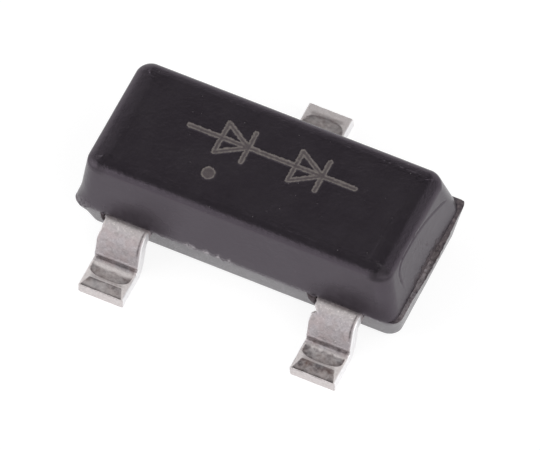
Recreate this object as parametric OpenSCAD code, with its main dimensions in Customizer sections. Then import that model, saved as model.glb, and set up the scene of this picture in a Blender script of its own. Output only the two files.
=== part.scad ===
// Small three-lead surface-mount silicon diode: two diodes in series in one moulded package.
// Millimetres. The board plane is z = 0, +X runs along the body and +Y points to the single lead.

/* [Moulded body] */
// Length of the body at its parting line
body_l = 2.86; // [2.80:0.01:3.60]
// Width of the body at its parting line
body_w = 1.32; // [1.20:0.01:1.70]
// Height of the body's upper face above the board
body_top = 0.93; // [0.86:0.01:1.20]
// Gap between the board and the body's lower face
standoff = 0.05; // [0.01:0.01:0.10]
// Slope of the two ends above the parting line, in degrees
end_draft = 9; // [3:0.5:14]
// Slope of the two long sides above the parting line, in degrees
side_draft = 15; // [3:0.5:18]
// Slope of the two ends below the parting line, in degrees
lower_end_draft = 12; // [3:0.5:18]
// Slope of the two long sides below the parting line, in degrees
lower_side_draft = 18.5; // [3:0.5:20]
// Radius of the four upright corners
corner_r = 0.10; // [0.06:0.01:0.16]
// Radius of the upper edges along the two ends
end_edge_r = 0.08; // [0.04:0.01:0.10]
// Radius of the upper edges along the two long sides
side_edge_r = 0.03; // [0.02:0.01:0.04]
// Radius of the edges of the lower face
lower_edge_r = 0.03; // [0.02:0.01:0.05]
// Length along the right end of the stub left where the moulding gate was broken off
gate_l = 0.32; // [0.20:0.01:0.50]
// Distance of the gate stub's middle behind the body's middle
gate_y = 0.045; // [-0.10:0.005:0.10]
// How far the gate stub stands out of the right end
gate_out = 0.03; // [0.02:0.005:0.06]
// Thickness of the gate stub, just under the parting line
gate_t = 0.05; // [0.03:0.005:0.08]

/* [Leads] */
// Distance between the centres of the two front leads
lead_pitch = 1.90; // [1.78:0.01:2.30]
// Width of a lead from the trimming step to its tip
lead_w = 0.40; // [0.32:0.01:0.50]
// Thickness of the lead sheet with its plating
lead_t = 0.12; // [0.10:0.005:0.15]
// Height of the leads' upper face where they leave the body, which is the parting line
lead_top = 0.41; // [0.36:0.01:0.50]
// Slope of the leads between their two bends, in degrees
lead_slope = 70; // [60:1:80]
// Straight length of a lead between the parting edge and its first bend
lead_run = 0.02; // [0.01:0.01:0.06]
// Inner radius of the bend next to the body
upper_bend_r = 0.03; // [0.02:0.01:0.05]
// Inner radius of the bend above the foot
lower_bend_r = 0.04; // [0.02:0.01:0.06]
// How far the trimming punch bit into the left side of lead 1
bite_1 = 0.02; // [0.01:0.005:0.04]
// How far the trimming punch bit into the left side of lead 2
bite_2 = 0.033; // [0.01:0.001:0.04]
// How far the trimming punch bit into the left side of lead 3
bite_3 = 0.02; // [0.01:0.005:0.04]
// Length of the bitten stretch from the parting edge outwards
bite_l = 0.11; // [0.08:0.01:0.13]
// Depth of the two marks that the forming tool pressed into each foot
mark_depth = 0.012; // [0.006:0.001:0.02]
// Plain stretch of a foot between its bend and the half-round forming mark
heel_l = 0.03; // [0.01:0.005:0.12]
// Length of the half-round forming mark along the lead
mark_l = 0.11; // [0.08:0.005:0.14]
// Plain edge of the foot on each side of the half-round mark
mark_edge = 0.03; // [0.02:0.005:0.05]
// Plain ridge between the half-round mark and the tip mark
mark_ridge = 0.02; // [0.01:0.005:0.03]
// Length of the forming mark that runs out at the tip
tip_mark_l = 0.095; // [0.07:0.005:0.15]
// Plain edge of the foot on each side of the tip mark's inner end
tip_mark_edge = 0.055; // [0.03:0.005:0.08]
// Plain edge of the foot on each side of the tip mark's outer end
tip_edge = 0.01; // [0.005:0.005:0.03]

/* [Lead frame inside the body] */
// Epoxy between the pads of leads 1 and 2 and the parting edge of the end next to them
end_wall = 0.15; // [0.14:0.01:0.20]
// Width of the part of lead 1's bonding post that is right of the lead's centre
post_right = 0.27; // [0.22:0.01:0.30]
// Length of the bonding post of lead 1
post_l = 0.33; // [0.28:0.01:0.36]
// Width of the part of lead 2's die pad that is left of the lead's centre
pad_2_left = 0.39; // [0.26:0.01:0.42]
// Length of the die pad of lead 2
pad_2_l = 0.62; // [0.50:0.01:0.66]
// Width of the part of lead 3's die pad that is left of the lead's centre
pad_3_left = 0.62; // [0.50:0.01:0.62]
// Width of the part of lead 3's die pad that is right of the lead's centre
pad_3_right = 0.30; // [0.26:0.01:0.34]
// Length of the die pad of lead 3
pad_3_l = 0.42; // [0.36:0.01:0.42]
// Epoxy between a pad and the parting edge of the long side next to it
pad_wall = 0.21; // [0.18:0.01:0.24]
// Radius of the half-round locking notches in a lead's neck
lock_r = 0.045; // [0.03:0.005:0.055]
// Cut across the free corners of the pads
pad_chamfer = 0.04; // [0.02:0.01:0.06]

/* [Silicon dies] */
// Side of a square silicon die
die_side = 0.30; // [0.24:0.01:0.36]
// Thickness of a silicon die
die_t = 0.12; // [0.08:0.01:0.16]
// Thickness of the silver-filled bond under a die
bond_t = 0.02; // [0.01:0.005:0.03]
// How far the die bond shows around the die
bond_fillet = 0.03; // [0.02:0.005:0.04]
// Bare metal between die A's bond and the left edge of its pad
bond_edge = 0.04; // [0.01:0.005:0.06]

/* [Bond wires] */
// Diameter of the gold bond wires
wire_d = 0.025; // [0.018:0.001:0.038]
// Diameter of the ball where a wire starts on a die
ball_d = 0.075; // [0.06:0.005:0.09]
// Height of the ball
ball_h = 0.02; // [0.012:0.002:0.03]
// Diameter of the flattened stitch where a wire ends on a lead
stitch_d = 0.06; // [0.05:0.005:0.08]
// Thickness of the stitch
stitch_t = 0.012; // [0.008:0.001:0.02]
// Height of a wire's loop above the die it starts on
loop_h = 0.14; // [0.08:0.01:0.18]
// Distance of wire B's stitch from the right edge of lead 3's pad
stitch_edge = 0.12; // [0.05:0.01:0.16]

/* [Hidden] */

$fn = 48;
eps = 0.05;                      // overshoot of every cutting shape
part_z = lead_top;               // the mould parts along the leads' upper face
edge_y = body_w / 2;             // parting edge of the long sides
corner_steps = 6;                // facets around an upright corner of the body
edge_steps = 4;                  // facets around an edge of the body
bend_steps = 8;                  // facets around a bend of a lead
wire_steps = 12;                 // stretches of a bond wire
wire_rise = 1.6;                 // first control point above the ball, in loop heights
wire_bow = 1.1;                  // second control point above the ball, in loop heights
wire_reach = 0.45;               // second control point's share of the way to the stitch

// Points of a lead's side view: distance outwards from the body's middle, and height
bend_y = edge_y + lead_run;
upper_outer_r = upper_bend_r + lead_t;
bend_z = lead_top - upper_outer_r;
slope_l = (bend_z + (upper_outer_r + lower_bend_r) * cos(lead_slope) - lead_t - lower_bend_r)
    / sin(lead_slope);
foot_y = bend_y + (upper_outer_r + lower_bend_r) * sin(lead_slope) + slope_l * cos(lead_slope);
mark_y = foot_y + heel_l;
tip_mark_y = mark_y + mark_l + mark_ridge;
tip_y = tip_mark_y + tip_mark_l;

// Inner parts, in the same outward measure
pad_end_y = edge_y - pad_wall;
lock_y = edge_y - pad_wall / 2;
sheet_w = body_l;                // wide enough for every pad
pad_outer = (body_l - lead_pitch) / 2 - end_wall;   // outer part of the pads of leads 1 and 2

// Each die lies on a pad with its bond wire's far end on the neighbouring lead
lead_x = [-lead_pitch / 2, lead_pitch / 2, 0];
die_a_at = [bond_edge + bond_fillet + die_side / 2 - pad_3_left, pad_end_y - pad_3_l / 2];
die_b_at = [lead_x[1] + (pad_outer - pad_2_left) / 2, pad_2_l / 2 - pad_end_y];
stitch_a_at = [lead_x[0] + (post_right - pad_outer) / 2, post_l / 2 - pad_end_y];
stitch_b_at = [pad_3_right - stitch_edge, pad_end_y - pad_3_l / 2];
die_z = lead_top + bond_t;
die_top = die_z + die_t;

// Half length and half width of the body at a height, edge roundings included
function edge_in(r, drop) = drop >= r ? 0 : r - sqrt(r * r - pow(r - drop, 2));
function drafted(half, z, upper, lower) =
    z >= part_z ? half - (z - part_z) * tan(upper) : half - (part_z - z) * tan(lower);
function half_l(z) = drafted(body_l / 2, z, end_draft, lower_end_draft)
    - edge_in(end_edge_r, body_top - z) - edge_in(lower_edge_r, z - standoff);
function half_w(z) = drafted(body_w / 2, z, side_draft, lower_side_draft)
    - edge_in(side_edge_r, body_top - z) - edge_in(lower_edge_r, z - standoff);

// One horizontal ring of the body: a rectangle with round corners, anticlockwise from above
function body_ring(z) = [
    for (quarter = [0:3], step = [0:corner_steps])
        let (
            turn = 90 * (quarter + step / corner_steps),
            side_x = quarter == 0 || quarter == 3 ? 1 : -1,
            side_y = quarter < 2 ? 1 : -1
        )
        [
            side_x * (half_l(z) - corner_r) + corner_r * cos(turn),
            side_y * (half_w(z) - corner_r) + corner_r * sin(turn),
            z
        ]
];

// Closed solid through rings that have the same number of points
module loft(rings) {
    n = len(rings[0]);
    top = n * (len(rings) - 1);
    sides = [
        for (k = [0:len(rings) - 2], i = [0:n - 1], half = [0:1])
            let (low = k * n + i, low_next = k * n + (i + 1) % n)
            half == 0 ? [low, low + n, low_next + n] : [low, low_next + n, low_next]
    ];
    polyhedron(
        points = [for (ring = rings, point = ring) point],
        faces = concat([[for (i = [0:n - 1]) i]], sides, [[for (i = [n - 1:-1:0]) top + i]])
    );
}

// The moulding's outer shape, as if it were solid
module body_shape() {
    lower_heights = [
        for (i = [0:edge_steps]) standoff + lower_edge_r * (1 - cos(90 * i / edge_steps))
    ];
    upper_heights = [
        for (i = [edge_steps:-1:0]) body_top - end_edge_r * (1 - cos(90 * i / edge_steps))
    ];
    loft([for (z = concat(lower_heights, [part_z], upper_heights)) body_ring(z)]);
}

// Stub left on the right end where the gate was broken off
module gate_stub() {
    reach = body_l / 2 - eps;
    translate([reach, gate_y - gate_l / 2, part_z - gate_t])
        cube([eps + gate_out, gate_l, gate_t]);
}

// Points along an arc, its angles anticlockwise from the first axis
function arc(centre, r, from, to) = [
    for (i = [0:bend_steps])
        let (turn = from + (to - from) * i / bend_steps)
        centre + r * [cos(turn), sin(turn)]
];

// Side view of a lead: flat inside the body, bent down, and flat again at the foot
module lead_side_view() {
    inner_y = pad_end_y - 2 * max(post_l, pad_2_l, pad_3_l);
    upper = [bend_y, bend_z];
    lower = [foot_y, lead_t + lower_bend_r];
    polygon(concat(
        [[inner_y, lead_top - lead_t], [inner_y, lead_top]],
        arc(upper, upper_outer_r, 90, 90 - lead_slope),
        arc(lower, lower_bend_r, 270 - lead_slope, 270),
        [[tip_y, lead_t], [tip_y, 0]],
        arc(lower, lower_bend_r + lead_t, 270, 270 - lead_slope),
        arc(upper, upper_bend_r, 90 - lead_slope, 90)
    ));
}

// Pad or post inside the body, with its free corners cut off
module pad_outline(left, right, length) {
    inner = pad_end_y - length;
    c = pad_chamfer;
    polygon([
        [-left, inner + c], [-left + c, inner], [right - c, inner], [right, inner + c],
        [right, pad_end_y - c], [right - c, pad_end_y], [-left + c, pad_end_y], [-left, pad_end_y - c]
    ]);
}

// Plan of the neck, the bitten stretch outside the body and the outer part of a lead
module strip_outline(bite) {
    half = lead_w / 2;
    difference() {
        translate([-half, pad_end_y - eps]) square([lead_w, tip_y - pad_end_y + eps]);
        translate([-half - eps, edge_y]) square([bite + eps, bite_l]);
        for (side = [-1, 1]) translate([side * half, lock_y]) circle(lock_r);
    }
}

// The two marks of the forming tool: a half-round one and one that runs out at the tip
module forming_marks() {
    half = lead_w / 2;
    mark_r = (pow(half - mark_edge, 2) + pow(mark_l, 2)) / (2 * mark_l);
    translate([0, 0, lead_t - mark_depth]) {
        linear_extrude(lead_t) intersection() {
            translate([0, mark_y + mark_l - mark_r]) circle(mark_r);
            translate([-half, mark_y]) square([lead_w, mark_r]);
        }
        linear_extrude(lead_t) polygon([
            [tip_mark_edge - half, tip_mark_y], [half - tip_mark_edge, tip_mark_y],
            [half - tip_edge, tip_y], [half - tip_edge, tip_y + eps],
            [tip_edge - half, tip_y + eps], [tip_edge - half, tip_y]
        ]);
    }
}

// One formed lead, pointing to +Y; its pad outline is the child
module formed_lead(bite) {
    difference() {
        intersection() {
            rotate([90, 0, 90]) linear_extrude(sheet_w, center = true) lead_side_view();
            translate([0, 0, -eps]) linear_extrude(lead_top + 2 * eps) {
                strip_outline(bite);
                children();
            }
        }
        forming_marks();
    }
}

// Front-left lead, which only carries a bonding post
module lead_1() {
    color("silver") translate([lead_x[0], 0, 0]) mirror([0, 1, 0])
        formed_lead(bite_1) pad_outline(pad_outer, post_right, post_l);
}

// Front-right lead, which carries die B
module lead_2() {
    color("silver") translate([lead_x[1], 0, 0]) mirror([0, 1, 0])
        formed_lead(bite_2) pad_outline(pad_2_left, pad_outer, pad_2_l);
}

// Back lead, which carries die A
module lead_3() {
    color("silver") translate([lead_x[2], 0, 0])
        formed_lead(bite_3) pad_outline(pad_3_left, pad_3_right, pad_3_l);
}

// Square silicon chip
module die(at) {
    translate([at[0] - die_side / 2, at[1] - die_side / 2, die_z]) cube([die_side, die_side, die_t]);
}

// Silver-filled bond: a square with round corners, a little wider than the die
module die_bond(at) {
    side = die_side + 2 * bond_fillet;
    translate([at[0], at[1], lead_top]) linear_extrude(bond_t) intersection() {
        square(side, center = true);
        circle(side / sqrt(2) - bond_fillet);
    }
}

// Centre line of a bond wire: a curve with four control points that leaves the ball upwards
function wire_line(from, to) =
    let (
        span = to - from,
        start = [from[0], from[1], die_top + ball_h / 2],
        above = start + [0, 0, wire_rise * loop_h],
        over = start + [wire_reach * span[0], wire_reach * span[1], wire_bow * loop_h],
        end = [to[0], to[1], lead_top + wire_d / 2]
    )
    [
        for (i = [0:wire_steps])
            let (t = i / wire_steps, u = 1 - t)
            u * u * u * start + 3 * u * u * t * above + 3 * u * t * t * over + t * t * t * end
    ];

function unit(v) = v / norm(v);

// Rings of eight points across the centre line
function wire_rings(from, to) =
    let (
        line = wire_line(from, to),
        across = unit([from[1] - to[1], to[0] - from[0], 0])
    )
    [
        for (i = [0:wire_steps])
            let (
                along = unit(line[min(i + 1, wire_steps)] - line[max(i - 1, 0)]),
                up = cross(along, across)
            )
            [
                for (k = [0:7])
                    line[i] + wire_d / 2 * (cos(45 * k) * across - sin(45 * k) * up)
            ]
    ];

// Gold wire from the ball on a die to the stitch on a lead
module bond_wire(from, to) {
    translate([from[0], from[1], die_top]) cylinder(d = ball_d, h = ball_h);
    loft(wire_rings(from, to));
    translate([to[0], to[1], lead_top]) cylinder(d = stitch_d, h = stitch_t);
}

module die_a() { color("#4a4f5a") die(die_a_at); }
module die_b() { color("#4a4f5a") die(die_b_at); }
module die_bond_a() { color("#b9b9b4") die_bond(die_a_at); }
module die_bond_b() { color("#b9b9b4") die_bond(die_b_at); }
module bond_wire_a() { color("gold") bond_wire(die_a_at, stitch_a_at); }
module bond_wire_b() { color("gold") bond_wire(die_b_at, stitch_b_at); }

// Black epoxy, moulded around everything else
module mould_body() {
    color("#2b282b") difference() {
        union() {
            body_shape();
            gate_stub();
        }
        lead_1();
        lead_2();
        lead_3();
        die_bond_a();
        die_bond_b();
        die_a();
        die_b();
        bond_wire_a();
        bond_wire_b();
    }
}

mould_body();
lead_1();
lead_2();
lead_3();
die_a();
die_b();
die_bond_a();
die_bond_b();
bond_wire_a();
bond_wire_b();
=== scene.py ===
"""Looks of a small three-lead surface-mount silicon diode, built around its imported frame."""
import math

import bpy
import numpy as np
from mathutils import Matrix, Vector, noise


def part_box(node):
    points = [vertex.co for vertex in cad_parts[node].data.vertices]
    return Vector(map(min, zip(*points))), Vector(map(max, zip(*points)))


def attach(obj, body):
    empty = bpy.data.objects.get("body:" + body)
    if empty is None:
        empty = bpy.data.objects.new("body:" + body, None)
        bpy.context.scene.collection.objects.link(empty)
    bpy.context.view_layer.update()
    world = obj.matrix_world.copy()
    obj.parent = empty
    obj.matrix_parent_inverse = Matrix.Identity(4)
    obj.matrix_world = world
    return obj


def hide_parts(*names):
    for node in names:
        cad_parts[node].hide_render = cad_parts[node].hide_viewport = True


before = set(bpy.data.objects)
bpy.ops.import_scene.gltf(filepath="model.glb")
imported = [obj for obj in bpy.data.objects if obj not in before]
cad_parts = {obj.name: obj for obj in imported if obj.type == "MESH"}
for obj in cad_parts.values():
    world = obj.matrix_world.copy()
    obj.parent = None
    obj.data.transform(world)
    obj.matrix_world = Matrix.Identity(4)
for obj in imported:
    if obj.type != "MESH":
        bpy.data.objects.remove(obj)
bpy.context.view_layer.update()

MM = 0.001


def node_box(name):
    """Lowest and highest corner of a CAD node, in millimetres."""
    low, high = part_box(name)
    return np.array(low) / MM, np.array(high) / MM


def per_lead(first, second, third):
    """One value for each of the three leads."""
    return {"lead_1": first, "lead_2": second, "lead_3": third}


# Sizes of the moulding, in millimetres and degrees; the outer ones come from the frame
BODY_LOW, BODY_HIGH = node_box("mould_body")
HALF_L = -BODY_LOW[0]
HALF_W = BODY_HIGH[1]
BASE_Z = BODY_LOW[2]
TOP_Z = BODY_HIGH[2]
PART_Z = node_box("lead_3")[1][2]
LEFT_DRAFT = 6.8
RIGHT_DRAFT = 11
FRONT_DRAFT = 11
BACK_DRAFT = 12.5
LOWER_END_DRAFT = 10.5
LOWER_SIDE_DRAFT = 16.8
UPPER_CORNER_R = 0.13
LOWER_CORNER_R = (0.10, 0.12, 0.05, 0.06)
LOWER_EDGE_R = 0.03
PARTING_R = 0.035

# Rounded upper edges, outside to inside, in stretches: the tilt of the surface in degrees at a stretch's end,
# and the stretch's length
RIGHT_TILTS = ((79, 0.0), (27, 0.050), (25, 0.070), (8, 0.025), (3, 0.05), (0, 0.06))
LEFT_TILTS = ((83, 0.0), (31, 0.038), (20, 0.030), (10, 0.024), (7, 0.05), (3, 0.05), (0, 0.04))
SIDE_TILTS = ((78, 0.0), (62, 0.014), (30, 0.036), (8, 0.030), (4, 0.03), (0, 0.04))

# Unevenness of the faces, the shelf and the torn gate: its height, the size of its features and its seed;
# then how deep the torn gate lies
BODY_WAVES = (0.0008, 0.25, 4)
BODY_GRAIN = (0.0004, 0.028, 5)
SHELF_GRAIN = (0.0035, 0.025, 3)
TORN_GRAIN = (0.012, 0.03, 6)
TORN_DEPTH = 0.006

# Right end: the lower half stands out of the upper one as a shelf, more at the back, under a torn gate
UPPER_OUT = 0.008
SHELF = 0.034
SHELF_SKEW = -0.005
FRONT_INSET = 0.010
BACK_SHELF = 0.023
GATE_Y = 0.0
GATE_L = 0.50
GATE_STUB_SHIFT = 0.08
SCAR_H = 0.10
SHELF_RISE = 0.008

# Flash along the parting line: its mean reach and how much that varies, at the sides, at a crumb, at the gate
# and beside a lead, where it grows towards the lead; then its thickness, furthest reach and fade at a lead
FLASH_REACH = (0.006, 0.004)
CRUMB_REACH = (0.003, 0.002)
GATE_REACH = (0.018, 0.008)
LUMP_REACH = (0.034, 0.008)
LUMP_GROWTH = 0.020
FLASH_T = 0.03
LUMP_T = (0.16, 0.03)
MAX_REACH = 0.075
GAP_FADE = 0.012

# Cross-section of the flash, upwards: shares of its reach and of its thickness
FLASH_SHAPE = ((0.35, 0.04), (0.72, 0.14), (0.93, 0.30), (1.0, 0.50), (1.0, 0.70), (0.95, 0.88), (0.75, 0.98))

# Panel on the right end whose outline shows as a thin curved line
PANEL_TOP_Z = 0.852
PANEL_TOP_Y = -0.17
PANEL_TOP_R = 1.2
PANEL_FRONT_Y = -0.385
PANEL_R = 0.09
PANEL_FADE_Y = 0.47
PANEL_FADE_Z = 0.58
PANEL_LOW_Z = 0.66

# Lump at the front-left corner: its place in from the two sides and below the parting line, and its reach
LUMP_IN = 0.05
LUMP_BELOW = 0.055
LUMP_R = 0.17
LUMP_FADE = 0.12
LUMP_RISE = 0.21
LUMP_FALL = 0.095
LUMP_OUT_LEFT = 0.034
LUMP_OUT_FRONT = 0.004

# Depths of the marks on the body, and the places and half sizes of its painted reflections of the front
# leads, its painted shade on the front top corners and its scuffed spots
MARK_DEPTH = 0.005
MARK_WALL = 0.012
PANEL_DEPTH = 0.008
PANEL_HALF_W = 0.015
PAINTED_LEAD_REFLECTIONS = (("lead_1", 0.10, 0.32), ("lead_2", 0.12, 0.42))
PAINTED_REFLECTION_Z = 0.05
PAINTED_REFLECTION_HALF_H = 0.22
PAINTED_SHADE_CORNER_IN = (0.15, 0.12)
PAINTED_SHADE_CORNER_R = 0.13
PAINTED_SHADE_LEFT_SHARE = 0.5
SCUFF_AT = (1.20, -0.43)
SCUFF_HALF = (0.14, 0.10)

# Crumbs of flash along the front parting line: place along the body and half length
CRUMBS = ((-0.385, 0.09), (-0.24, 0.06), (-0.13, 0.05), (-0.03, 0.03))

# Lumps of resin on the left of the leads' exits: length along the body
LUMPS = per_lead(0.07, 0.12, 0.04)

# Laser mark: a plain orientation dot and the general symbol of two diodes in series
DOT_AT = (-0.400, -0.237)
DOT_R = 0.058
MARK_Y = 0.115
MARK_HALF = 0.021
MARK_END = 0.74
MARK_DIODE_X = 0.33
MARK_DIODE_L = 0.24
MARK_DIODE_H = 0.30

# Sizes of the leads
LEAD_PITCH = 1.90
LEAD_X = per_lead(-LEAD_PITCH / 2, LEAD_PITCH / 2, 0.0)
LEAD_W = 0.40
LEAD_T = 0.12
LEAD_SLOPE = math.radians(70)
LEAD_RUN = 0.02
UPPER_BEND_R = 0.03
LOWER_BEND_R = 0.04
LEAD_EDGE_R = 0.020
TIP_Y = node_box("lead_3")[1][1]
BITE = per_lead(0.015, 0.012, 0.015)
BITE_END = 0.80
BITE_FADE = 0.06

# Unevenness of the sheet and of its cut end: its height and the size of its features
LEAD_WAVES = (0.0016, 0.07)
LEAD_GRAIN = (0.0009, 0.02)
END_GRAIN = (0.0015, 0.012)

# Small tear in the left edge of lead_2, by distances along the sheet
TEAR_AT = 0.738
TEAR_RISE = 0.030
TEAR_FALL = 0.010
TEAR_DEPTH = 0.040

# Inner end of a lead: where its pad stops, the notches that lock it in the moulding, and the pad's chamfer
PAD_END_Y = HALF_W - 0.21
LOCK_Y = HALF_W - 0.105
LOCK_R = 0.045
PAD_CHAMFER = 0.04

# Marks that the forming tool pressed into a foot, as distances outwards from the body's middle
SCOOP_HEEL_Y = 0.895
SCOOP_DEEP_Y = 0.975
SCOOP_ROUND_Y = 0.950
SCOOP_END_Y = per_lead(1.054, 1.042, 1.100)
SCOOP_HALF_W = 0.183
SCOOP_DEPTH = 0.016
TIP_MARK_Y = per_lead(1.072, 1.056, 1.10)
TIP_MARK_INNER = 0.148
TIP_MARK_OUTER = 0.190
TIP_MARK_DEPTH = 0.003
TIP_MARK_FALL = 0.022
TIP_MARK_LIP = 0.006
CREASE_DEPTH = 0.013
CREASE_LIP = 0.004
CREASE_W = 0.042
CREASE_SHIFT = per_lead(0.028, 0.018, 0.028)
# How dark the crease is painted: painted shade standing in for the shadow in its groove
CREASE_PAINTED_SHADE = per_lead(0.47, 0.70, 0.60)

# How dull each lead's round mark, tip mark and heel are, half the heel mark's width, how pale each plate is,
# how streaky each heel is, and how far out the bright line between heel and round mark lies
SOILED_SCOOP = per_lead(0.86, 0.96, 0.74)
SOILED_TIP = per_lead(0.84, 1.10, 0.0)
SOILED_HEEL = per_lead(0.66, 0.42, 0.50)
HEEL_HALF_W = 0.176
PALE_PLATE = per_lead(1.0, 1.0, 0.78)
STREAKS = per_lead(0.3, 1.6, 0.8)
SHINE_Y = per_lead(0.926, 0.904, 0.925)

# Camera fitted to the photograph: where it stands, its roll, and the part's scale and place in the image
CAMERA_AZIMUTH = math.radians(28.36)
CAMERA_ELEVATION = math.radians(57.53)
CAMERA_ROLL = math.radians(-3.19)
CAMERA_DISTANCE = 100.0
CAMERA_TARGET = (0.0, 0.0, 0.5)
IMAGE_W = 540
PIXELS_PER_MM = 123.68
TARGET_RIGHT = -2.54
TARGET_BELOW = -28.76
SENSOR_W = 36.0


# Shared mesh tools
SHARP_ANGLE = math.radians(40)


def ease(x):
    """0 below 0, 1 above 1, and a smooth rise between them."""
    t = np.clip(x, 0.0, 1.0)
    return t * t * (3 - 2 * t)


def bump_at(x, centre, half_width):
    """Smooth hill of height 1 about a centre."""
    return ease(1 - np.abs(x - centre) / half_width)


def grain(points, size, seed):
    """Noise from -1 to 1 at points in millimetres, with features of a size."""
    shift = Vector((seed * 7.3, seed * 3.1, seed * 5.7))
    return np.array([noise.noise(Vector(p) / size + shift) for p in points])


def relief(points, height, size, seed):
    """Uneven height over points, up to a height either way."""
    return height * grain(points, size, seed)


def rounded_side(half_along, half_out, r_start, r_end, share):
    """Points and normals at shares of one side of a rounded rectangle, which ends at its corners' middles."""
    bend = r_start * math.pi / 4
    straight = 2 * half_along - r_start - r_end
    s = share * (straight + bend + r_end * math.pi / 4)
    before = s < bend
    after = s > bend + straight
    turn = np.where(before, (s - bend) / r_start, np.where(after, (s - bend - straight) / r_end, 0.0))
    middle = np.clip(s - bend, 0.0, straight) - half_along + r_start
    r = np.where(before, r_start, r_end)
    along = middle + r * np.sin(turn)
    out = half_out - r + r * np.cos(turn)
    return along, out, np.sin(turn), np.cos(turn)


def rounded_ring(half_a, half_b, r, count_a, count_b):
    """Anticlockwise rounded rectangle; its halves may differ by point, and its radii by corner."""
    total = 2 * (count_a + count_b)
    radii = np.broadcast_to(r, 4)
    half_a = np.broadcast_to(half_a, total)
    half_b = np.broadcast_to(half_b, total)
    points, normals = np.zeros((2, total, 2))
    start = 0
    for side, count in enumerate((count_a, count_b, count_a, count_b)):
        at = slice(start, start + count)
        share = np.arange(count) / count
        a, b = (half_a[at], half_b[at]) if side % 2 == 0 else (half_b[at], half_a[at])
        along, out, n_along, n_out = rounded_side(a, b, radii[side], radii[(side + 1) % 4], share)
        turn = side * math.pi / 2
        c, s = round(math.cos(turn)), round(math.sin(turn))
        points[at, 0] = c * along + s * out
        points[at, 1] = s * along - c * out
        normals[at, 0] = c * n_along + s * n_out
        normals[at, 1] = s * n_along - c * n_out
        start += count
    return points, normals


def ring_sides(ring, count_a, count_b):
    """The four sides of a ring in turn, each from corner to corner."""
    closed = np.concatenate([ring, ring[:1]])
    ends = np.cumsum([0, count_a, count_b, count_a, count_b])
    return [closed[start:end + 1] for start, end in zip(ends, ends[1:])]


def cap_points(ring, count_a, count_b):
    """Grid of points that fills a ring, blended from the ring's four sides."""
    low, right, high, left = ring_sides(ring, count_a, count_b)
    high, left = high[::-1], left[::-1]
    u = np.linspace(0, 1, count_a + 1)[:, None, None]
    v = np.linspace(0, 1, count_b + 1)[None, :, None]
    sides = (1 - v) * low[:, None] + v * high[:, None] + (1 - u) * left[None] + u * right[None]
    corners = (1 - u) * (1 - v) * low[0] + u * (1 - v) * low[-1] + (1 - u) * v * high[0] + u * v * high[-1]
    return sides - corners


def cap_numbers(ring_start, inner_start, count_a, count_b):
    """Vertex numbers of a cap's grid, from the ring's numbers and those of its inner points."""
    grid = np.zeros((count_a + 1, count_b + 1), int)
    ring = ring_start + np.arange(2 * (count_a + count_b))
    grid[:, 0], grid[-1, :], grid[::-1, -1], grid[0, ::-1] = ring_sides(ring, count_a, count_b)
    inner = inner_start + np.arange((count_a - 1) * (count_b - 1))
    grid[1:-1, 1:-1] = inner.reshape(count_a - 1, count_b - 1)
    return grid


def grid_faces(grid):
    """Quads over a grid of vertex numbers, turning the same way as the ring around it."""
    corners = [grid[:-1, :-1], grid[1:, :-1], grid[1:, 1:], grid[:-1, 1:]]
    return np.stack([c.ravel() for c in corners], 1)


def lofted(rings, count_a, count_b, flat_start=False):
    """Solid through rings, with a grid over each end; a flat start is left open for one flat face."""
    rings = np.array(rings)
    levels, total = rings.shape[:2]
    numbers = np.arange(levels * total).reshape(levels, total)
    after = np.roll(numbers, -1, axis=1)
    wall = np.stack([numbers[:-1], after[:-1], after[1:], numbers[1:]], -1).reshape(-1, 4)
    points = [rings.reshape(-1, 3)]
    faces = [wall]
    start = levels * total
    for level in (levels - 1,) if flat_start else (0, levels - 1):
        inner = cap_points(rings[level], count_a, count_b)[1:-1, 1:-1].reshape(-1, 3)
        quads = grid_faces(cap_numbers(level * total, start, count_a, count_b))
        faces.append(quads[:, ::-1] if level == 0 else quads)
        points.append(inner)
        start += len(inner)
    return np.concatenate(points), np.concatenate(faces)


def vertex_normals(points, faces):
    """Unit normals of the points of a mesh of quads."""
    across = points[faces[:, 2]] - points[faces[:, 0]]
    other = points[faces[:, 3]] - points[faces[:, 1]]
    face_normals = np.cross(across, other)
    normals = np.zeros_like(points)
    for corner in range(4):
        np.add.at(normals, faces[:, corner], face_normals)
    return normals / np.maximum(np.linalg.norm(normals, axis=1), 1e-12)[:, None]


def in_scene(name, data):
    """New object in the scene for a mesh, a lamp or a camera."""
    made = bpy.data.objects.new(name, data)
    bpy.context.scene.collection.objects.link(made)
    return made


def make_piece(name, points, faces, material, node, masks):
    """Object from points in millimetres, standing for a CAD node and riding with it."""
    mesh = bpy.data.meshes.new(name)
    mesh.from_pydata((points * MM).tolist(), [], faces)
    mesh.validate()
    for mask, values in masks.items():
        mesh.attributes.new(mask, "FLOAT", "POINT").data.foreach_set("value", values.astype(np.float32))
    mesh.shade_smooth()
    mesh.set_sharp_from_angle(angle=SHARP_ANGLE)
    mesh.materials.append(material)
    piece = in_scene(name, mesh)
    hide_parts(node)
    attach(piece, "root")


# Shared material tools
def set_range(node, *limits):
    """Sets a map node's range from and to."""
    for key, limit in zip(("From Min", "From Max", "To Min", "To Max"), limits):
        node.inputs[key].default_value = limit


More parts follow.
